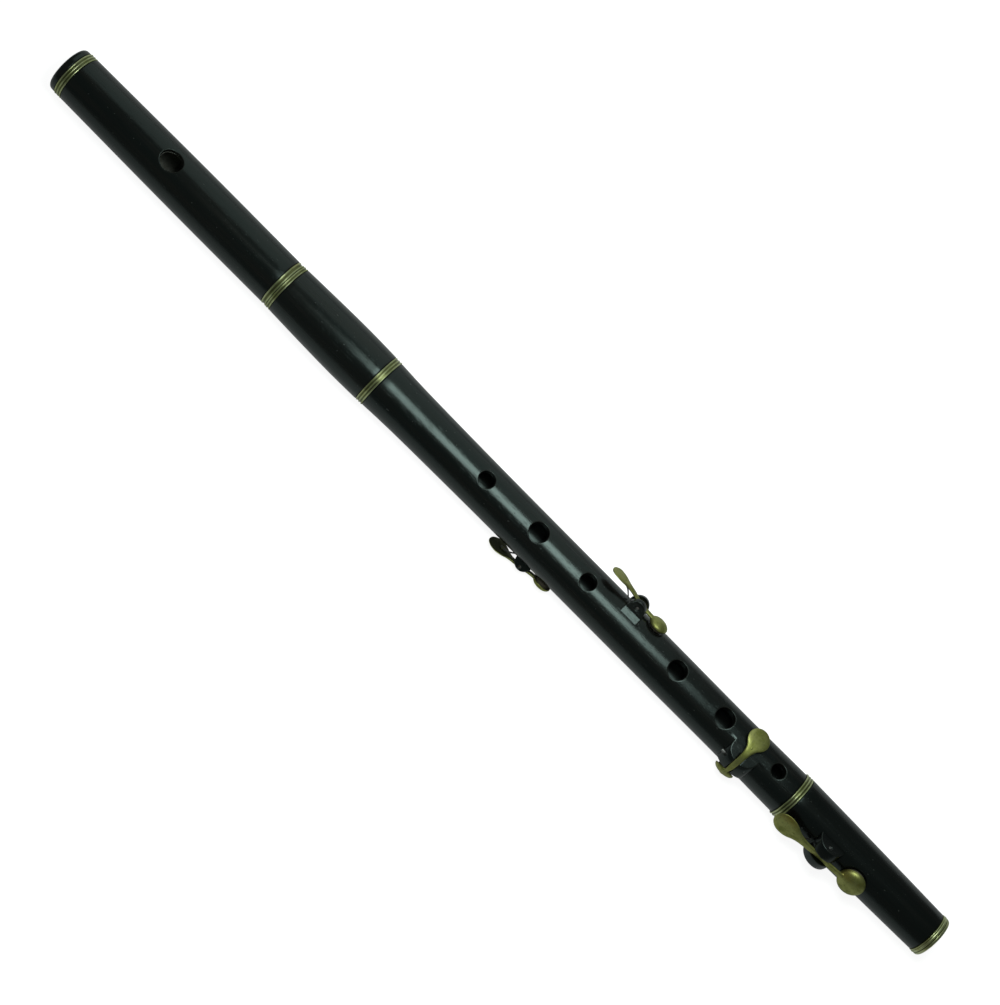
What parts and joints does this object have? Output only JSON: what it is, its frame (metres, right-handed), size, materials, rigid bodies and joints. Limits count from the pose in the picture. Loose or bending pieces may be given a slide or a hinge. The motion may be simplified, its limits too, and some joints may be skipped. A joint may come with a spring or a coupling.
{
  "type": "transverse wooden flute",
  "caption": "Conical wooden transverse flute in sections, with brass rings, open finger holes and sprung brass keys on wooden blocks",
  "frame": {"origin": "under the middle of the flute, at the lowest line of the barrel's swell as the flute lies down", "axes": "+X from the cap to the foot, +Z out of the finger holes, +Y to the side of the G sharp key"},
  "size_m": [0.6072, 0.0368, 0.0324],
  "materials": {
    "blackwood": "oiled satin",
    "brass": "worn, lightly tarnished",
    "spring_steel": "dull",
    "waxed_thread": "waxed",
    "cork": "cork, matte",
    "pad_leather": "matte"
  },
  "bodies": {
    "body": {"body_joint": "blackwood", "upper_tenon_lapping": "waxed_thread", "lower_tenon_lapping": "waxed_thread", "b_flat_axle_pin": "spring_steel", "g_sharp_axle_pin": "spring_steel", "f_natural_axle_pin": "spring_steel"},
    "barrel": {"barrel": "blackwood", "barrel_upper_ring": "brass", "barrel_socket_ring": "brass", "tuning_slide_tube": "brass"},
    "head": {"head_joint": "blackwood", "head_liner": "brass", "head_end_ring": "brass", "head_lower_ring": "brass"},
    "cap": {"end_cap": "blackwood", "end_cap_lapping": "waxed_thread"},
    "stopper": {"stopper_cork": "cork"},
    "foot": {"foot_joint": "blackwood", "foot_socket_ring": "brass", "foot_end_ring": "brass", "d_sharp_axle_pin": "spring_steel"},
    "b_flat_key": {"b_flat_key": "brass", "b_flat_pad": "pad_leather", "b_flat_spring": "spring_steel", "b_flat_spring_rivet": "brass"},
    "g_sharp_key": {"g_sharp_key": "brass", "g_sharp_pad": "pad_leather", "g_sharp_spring": "spring_steel", "g_sharp_spring_rivet": "brass"},
    "f_natural_key": {"f_natural_key": "brass", "f_natural_pad": "pad_leather", "f_natural_spring": "spring_steel", "f_natural_spring_rivet": "brass"},
    "d_sharp_key": {"d_sharp_key": "brass", "d_sharp_pad": "pad_leather", "d_sharp_spring": "spring_steel", "d_sharp_spring_rivet": "brass"}
  },
  "joints": [
    {"name": "barrel_turn", "type": "hinge", "parent": "body", "child": "barrel", "pos_m": [-0.08265, 0, 0.01451], "axis": [1, 0, 0], "continuous": true},
    {"name": "tuning_slide", "type": "slide", "parent": "barrel", "child": "head", "axis": [-1, 0, 0], "range_m": [0, 0.018]},
    {"name": "cap_pull", "type": "slide", "parent": "head", "child": "cap", "axis": [-1, 0, 0], "range_m": [0, 0.012]},
    {"name": "stopper_shift", "type": "slide", "parent": "head", "child": "stopper", "axis": [1, 0, 0], "range_m": [-0.003, 0.003]},
    {"name": "foot_turn", "type": "hinge", "parent": "body", "child": "foot", "pos_m": [0.20265, 0, 0.01451], "axis": [1, 0, 0], "continuous": true},
    {"name": "b_flat_hinge", "type": "hinge", "parent": "body", "child": "b_flat_key", "pos_m": [0.02935, -0.01163, 0.00475], "axis": [0, 0.6428, -0.766], "range_deg": [0, 10], "stiffness_Nm_per_rad": 0.05, "springref_deg": -20.05, "deforming": ["b_flat_spring"]},
    {"name": "g_sharp_hinge", "type": "hinge", "parent": "body", "child": "g_sharp_key", "pos_m": [0.08415, 0.01071, 0.02485], "axis": [0, -0.6947, 0.7193], "range_deg": [0, 10], "stiffness_Nm_per_rad": 0.05, "springref_deg": -20.05, "deforming": ["g_sharp_spring"]},
    {"name": "f_natural_hinge", "type": "hinge", "parent": "body", "child": "f_natural_key", "pos_m": [0.17165, -0.01116, 0.0228], "axis": [-1, 0, 0], "range_deg": [0, 8], "stiffness_Nm_per_rad": 0.05, "springref_deg": -20.05, "deforming": ["f_natural_spring"]},
    {"name": "d_sharp_hinge", "type": "hinge", "parent": "foot", "child": "d_sharp_key", "pos_m": [0.2331, -0.01304, 0.02266], "axis": [0, -0.5299, -0.848], "range_deg": [0, 8], "stiffness_Nm_per_rad": 0.05, "springref_deg": -20.05, "deforming": ["d_sharp_spring"]}
  ]
}
